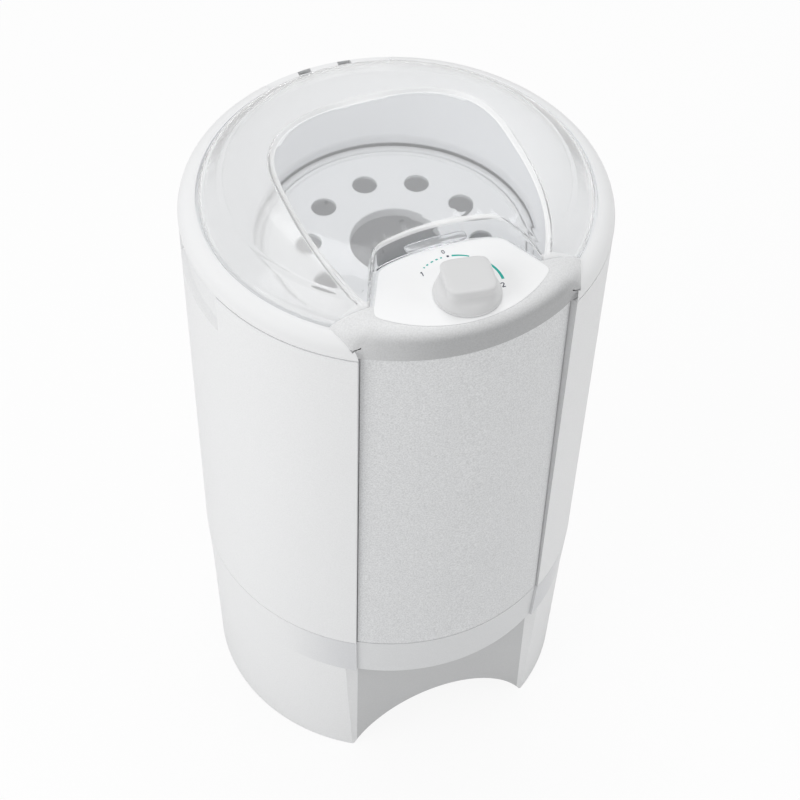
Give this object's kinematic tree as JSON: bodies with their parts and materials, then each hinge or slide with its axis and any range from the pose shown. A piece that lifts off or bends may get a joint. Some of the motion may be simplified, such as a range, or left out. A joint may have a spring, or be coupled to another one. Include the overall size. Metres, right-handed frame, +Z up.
{
  "type": "laundry spin dryer",
  "caption": "Round free-standing laundry spin dryer with a clear hinged lid, a perforated spinning basket and a knob timer.",
  "frame": {"origin": "middle of the footprint on the floor, on the basket's axis", "axes": "+Z up along the basket's axis, -Y towards the front with the console, +X to the right as seen from the front"},
  "size_m": [0.3904, 0.3852, 0.6723],
  "materials": {
    "casing_white": "smooth moulded polypropylene, satin gloss",
    "panel_grey": "fine vertical grain",
    "label_print": "printed plate, satin",
    "lid_clear": "clear moulded plastic, glossy",
    "basket_white": "moulded plastic, satin",
    "knob_grey": "moulded plastic, satin gloss",
    "inner_plastic": "moulded plastic",
    "rubber_black": "moulded rubber",
    "drum_steel": "pressed sheet",
    "drive_steel": "turned and pressed",
    "zinc_steel": "zinc plated",
    "copper_wire": "lacquered winding"
  },
  "bodies": {
    "casing": {"base": "casing_white", "drive_deck": "inner_plastic", "cabinet": "casing_white", "front_panel": "panel_grey", "top_ring": "casing_white", "funnel": "casing_white", "control_label": "label_print", "rubber_feet": "rubber_black", "tub": "inner_plastic", "tub_gasket": "rubber_black", "drain_spout": "inner_plastic", "drain_sleeve": "rubber_black", "motor_plate": "zinc_steel", "suspension_mounts": "rubber_black", "mount_bolts": "zinc_steel", "motor_housing": "zinc_steel", "motor_end_cap": "zinc_steel", "stator_core": "drive_steel", "stator_windings": "copper_wire", "lower_bearing": "drive_steel", "upper_bearing": "drive_steel", "bearing_housing": "drive_steel", "shaft_seal": "rubber_black", "tub_bellows": "rubber_black", "capacitor": "inner_plastic", "capacitor_clamp": "zinc_steel", "cord_gland": "rubber_black", "hinge_pins": "drive_steel", "timer": "inner_plastic"},
    "basket": {"basket": "drum_steel", "basket_floor": "drum_steel", "basket_rim": "basket_white", "basket_hub": "drive_steel", "hub_bolts": "zinc_steel", "hub_nut": "zinc_steel", "hub_cap": "basket_white", "drive_shaft": "drive_steel", "rotor": "drive_steel"},
    "cover": {"basket_cover": "basket_white"},
    "lid": {"lid": "lid_clear"},
    "knob": {"timer_shaft": "drive_steel", "timer_knob": "knob_grey"}
  },
  "joints": [
    {"name": "lid_hinge", "type": "hinge", "parent": "casing", "child": "lid", "pos_m": [0, 0.1835, 0.627], "axis": [-1, 0, 0], "range_deg": [0, 100]},
    {"name": "basket_spin", "type": "hinge", "parent": "casing", "child": "basket", "pos_m": [0, 0, 0.2], "axis": [0, 0, 1], "continuous": true},
    {"name": "cover_lift", "type": "slide", "parent": "basket", "child": "cover", "axis": [0, 0, 1], "range_m": [0, 0.018]},
    {"name": "knob_turn", "type": "hinge", "parent": "casing", "child": "knob", "pos_m": [0.003, -0.1515, 0.65], "axis": [0, 0, -1], "range_deg": [0, 300]}
  ]
}
